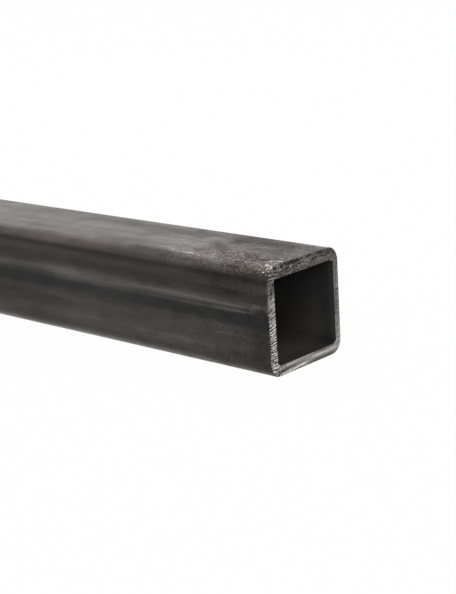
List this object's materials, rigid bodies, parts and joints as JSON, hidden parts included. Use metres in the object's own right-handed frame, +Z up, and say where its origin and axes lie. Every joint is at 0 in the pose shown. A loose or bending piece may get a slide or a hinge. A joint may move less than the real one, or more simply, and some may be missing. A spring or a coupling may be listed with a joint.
{
  "type": "square steel tube",
  "caption": "Length of square steel hollow section with rounded corners, a low weld ridge along one wall, an open square bore and sawn ends.",
  "frame": {"origin": "middle of the bottom wall's underside, halfway along the length and on the centre line between the flats of the two side walls", "axes": "+X along the tube, -Y out of the welded wall, +Z up out of the top wall"},
  "size_m": [1, 0.0251, 0.025],
  "materials": {
    "black_steel": "satin"
  },
  "bodies": {
    "root": {"square_tube": "black_steel"}
  },
  "joints": []
}
